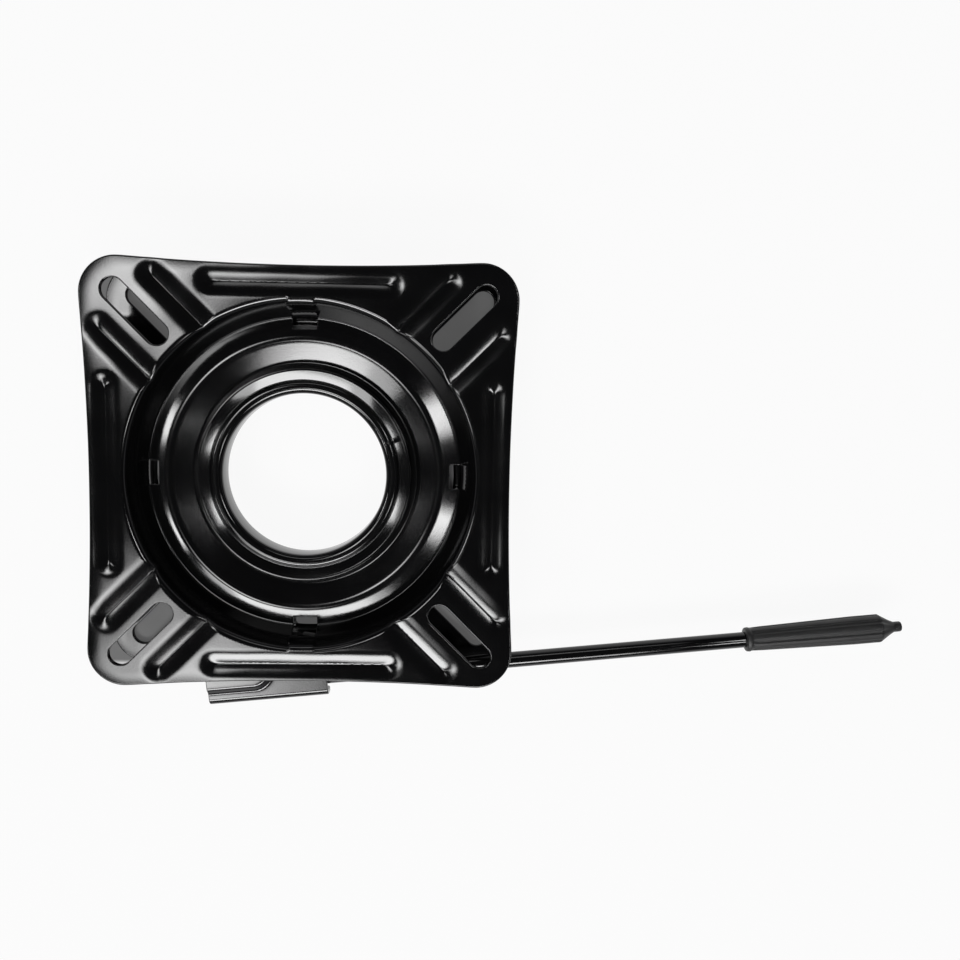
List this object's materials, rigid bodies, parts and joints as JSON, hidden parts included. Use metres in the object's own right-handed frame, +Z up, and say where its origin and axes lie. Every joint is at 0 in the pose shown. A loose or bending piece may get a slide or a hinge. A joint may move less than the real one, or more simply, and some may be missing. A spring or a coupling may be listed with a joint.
{
  "type": "swivel seat base",
  "caption": "Pressed steel seat swivel in glossy black paint: ribbed square plates on a ball race, an open hub and a side lock lever with a fluted grip.",
  "frame": {"origin": "on the swivel axis, half-way between the seat plate's top and the floor plate's underside", "axes": "+Z up along the swivel axis, +X the way that the lever's rod points"},
  "size_m": [0.3565, 0.1931, 0.036],
  "materials": {
    "black_paint": "gloss",
    "grip_plastic": "matte",
    "nylon": "satin",
    "ball_steel": "polished",
    "zinc_steel": "satin"
  },
  "bodies": {
    "base": {"floor_plate": "black_paint", "hub_eyelet": "black_paint", "middle_slide_ring": "nylon", "lower_slide_ring": "nylon", "pivot_post": "zinc_steel", "thrust_washer": "nylon", "spring_washer": "zinc_steel"},
    "seat": {"seat_plate": "black_paint", "upper_slide_ring": "nylon"},
    "ball_set": {"ball_cage": "nylon", "bearing_balls": "ball_steel"},
    "lever": {"lever_arm": "black_paint", "lock_tooth": "black_paint", "lever_rod": "black_paint", "lever_grip": "grip_plastic"}
  },
  "joints": [
    {"name": "seat_swivel", "type": "hinge", "parent": "base", "child": "seat", "pos_m": [0, 0, 0], "axis": [0, 0, 1], "continuous": true},
    {"name": "cage_turn", "type": "hinge", "parent": "base", "child": "ball_set", "pos_m": [0, 0, 0], "axis": [0, 0, 1], "continuous": true},
    {"name": "lever_swing", "type": "hinge", "parent": "base", "child": "lever", "pos_m": [-0.036, -0.077, 0], "axis": [0, 0, 1], "range_deg": [-4, 8]}
  ],
  "couplings": [
    {"joint": "cage_turn", "follows": "seat_swivel", "ratio": 0.5}
  ]
}
